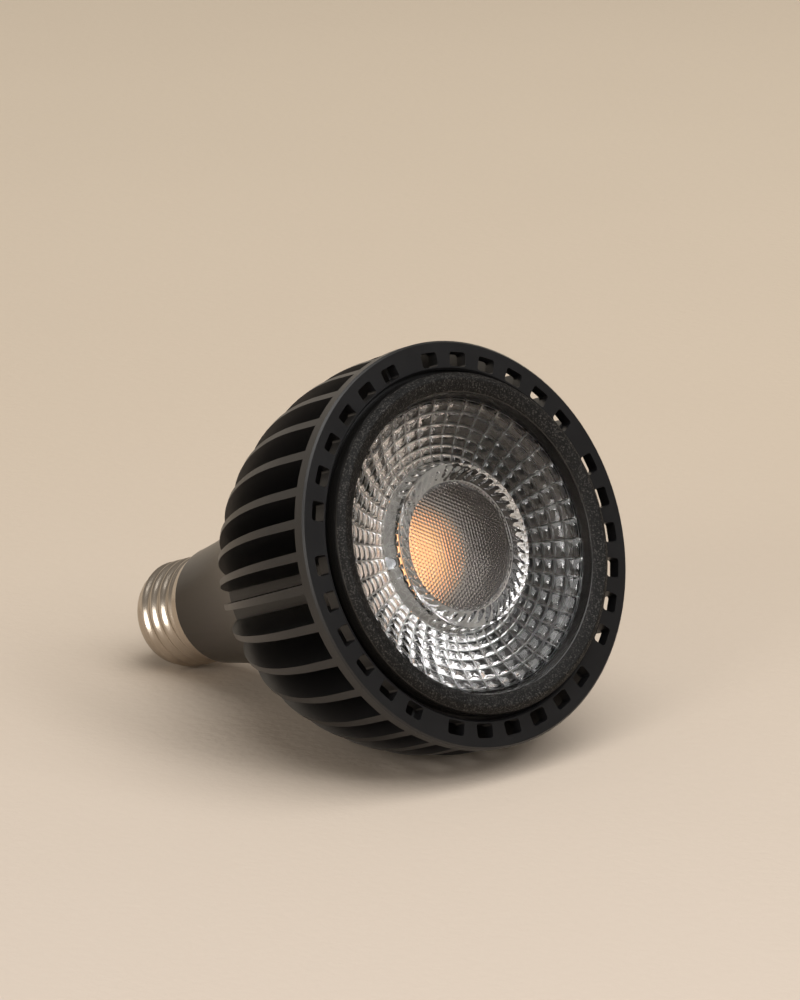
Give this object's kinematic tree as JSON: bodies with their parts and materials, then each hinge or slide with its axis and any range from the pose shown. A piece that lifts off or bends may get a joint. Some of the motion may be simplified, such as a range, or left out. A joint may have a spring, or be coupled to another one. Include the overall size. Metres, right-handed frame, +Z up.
{
  "type": "led grow light bulb",
  "caption": "Reflector-shaped LED grow lamp with a finned metal heat sink, slotted flange, faceted clear lens, flared black neck and a screw cap, lying on its side.",
  "frame": {"origin": "centre of the bounding box in plan, on the surface that the bulb lies on", "axes": "+Z up, +Y from the lens towards the screw cap, +X across. The bulb's own axis lies in the YZ plane, with the lens end raised by 21.3 degrees, as the bulb comes to rest on two fins and the last cap thread"},
  "size_m": [0.095, 0.1306, 0.0965],
  "materials": {
    "cast_body": "satin black coating with a fine texture",
    "ring": "fine spark texture",
    "lens": "clear acrylic, moulded facets",
    "gasket": "silicone",
    "phosphor": "orange silicone",
    "board_white": "white solder resist on aluminium",
    "holder_white": "white moulded",
    "screws": "zinc plated",
    "pad": "thermal pad",
    "neck": "fine moulded satin black",
    "disc": "fibre board",
    "cap_metal": "nickel plated, rolled",
    "cap_glass": "black insulator",
    "contact": "tinned brass",
    "circuit_board": "green fibre glass board",
    "ferrite": "ferrite",
    "winding": "yellow winding tape",
    "capacitor": "printed sleeve, left plain",
    "film_box": "moulded box",
    "chip_black": "moulded package",
    "resistor": "lacquered body",
    "wire_blue": "insulated wire",
    "wire_brown": "insulated wire",
    "wire_red": "insulated wire"
  },
  "bodies": {
    "root": {"heat_sink": "cast_body", "bezel": "ring", "lens_gasket": "gasket", "lens": "lens", "thermal_pad": "pad", "led_board": "board_white", "led_phosphor": "phosphor", "led_holder": "holder_white", "holder_screws": "screws", "housing_screws": "screws", "driver_housing": "neck", "insulating_disc": "disc", "screw_shell": "cap_metal", "cap_insulator": "cap_glass", "centre_contact": "contact", "driver_board": "circuit_board", "transformer_core": "ferrite", "transformer_winding": "winding", "input_capacitor": "capacitor", "output_capacitor": "capacitor", "choke": "ferrite", "film_capacitor": "film_box", "bridge_rectifier": "chip_black", "driver_chip": "chip_black", "fuse_resistor": "resistor", "live_wire": "wire_brown", "neutral_wire": "wire_blue", "led_wires": "wire_red"}
  },
  "joints": []
}
